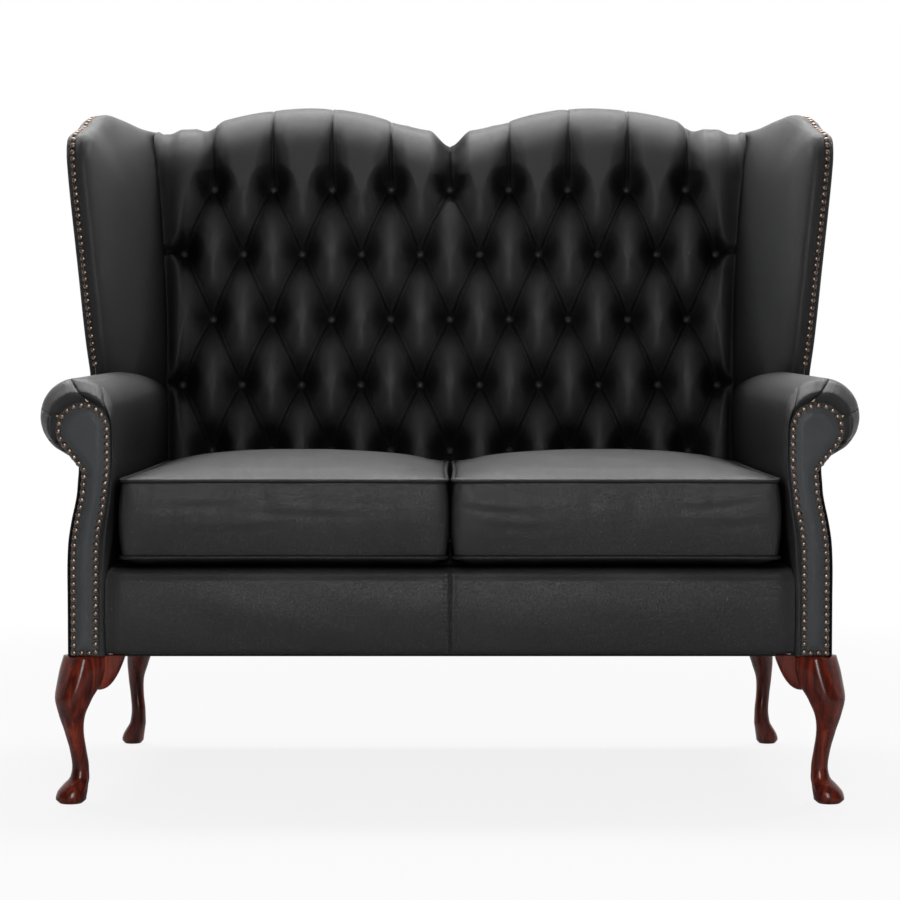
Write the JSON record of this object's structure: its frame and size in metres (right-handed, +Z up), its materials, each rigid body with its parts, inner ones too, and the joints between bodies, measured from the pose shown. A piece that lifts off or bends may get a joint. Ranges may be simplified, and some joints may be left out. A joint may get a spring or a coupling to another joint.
{
  "type": "sofa",
  "caption": "Two-seat leather sofa with a high buttoned wing back, scroll arms with nailed facings, loose seat cushions and cabriole legs",
  "frame": {"origin": "on the floor, under the middle of the sofa's outer box", "axes": "+X along the sofa to the sitter's left, +Y from the front to the back, +Z up"},
  "size_m": [1.2552, 0.794, 1.0912],
  "materials": {
    "leather": "soft sheen, fine grain",
    "mahogany": "polished gloss",
    "antique_brass": "aged, dark in the hollows",
    "beech": "sawn",
    "stuffing": "matt foam and wadding",
    "webbing": "woven jute",
    "twine": "waxed linen twine",
    "lining": "black lining cloth",
    "steel": "zinc plated"
  },
  "bodies": {
    "sofa_frame": {"front_rail": "beech", "rear_rail": "beech", "side_rail_left": "beech", "side_rail_right": "beech", "corner_blocks": "beech", "arm_post_left": "beech", "arm_post_right": "beech", "arm_rail_left": "beech", "arm_rail_right": "beech", "back_post_left": "beech", "back_post_right": "beech", "back_top_rail": "beech", "back_lower_rail": "beech", "wing_board_left": "beech", "wing_board_right": "beech", "seat_webbing": "webbing", "back_webbing": "webbing", "seat_deck": "stuffing", "border_pad": "stuffing", "border_cover": "leather", "back_foam": "stuffing", "back_cover": "leather", "back_buttons": "leather", "button_ties": "twine", "crest_roll": "leather", "arm_pad_left": "stuffing", "arm_pad_right": "stuffing", "arm_cover_left": "leather", "arm_cover_right": "leather", "arm_facing_left": "leather", "arm_facing_right": "leather", "facing_nails_left": "antique_brass", "facing_nails_right": "antique_brass", "wing_pad_left": "stuffing", "wing_pad_right": "stuffing", "wing_cover_left": "leather", "wing_cover_right": "leather", "wing_nails_left": "antique_brass", "wing_nails_right": "antique_brass", "outside_arm_left": "leather", "outside_arm_right": "leather", "outside_wing_left": "leather", "outside_wing_right": "leather", "outside_back": "leather", "dust_cover": "lining", "front_leg_left": "mahogany", "front_leg_right": "mahogany", "rear_leg_left": "mahogany", "rear_leg_right": "mahogany", "leg_bolts": "steel", "leg_inserts": "steel"},
    "seat_cushion_left": {"cushion_cover_left": "leather", "cushion_foam_left": "stuffing", "cushion_piping_left": "leather"},
    "seat_cushion_right": {"cushion_cover_right": "leather", "cushion_foam_right": "stuffing", "cushion_piping_right": "leather"}
  },
  "joints": [
    {"name": "lift_out_left", "type": "slide", "parent": "sofa_frame", "child": "seat_cushion_left", "axis": [0, 0, 1], "range_m": [0, 0.3]},
    {"name": "lift_out_right", "type": "slide", "parent": "sofa_frame", "child": "seat_cushion_right", "axis": [0, 0, 1], "range_m": [0, 0.3]}
  ]
}
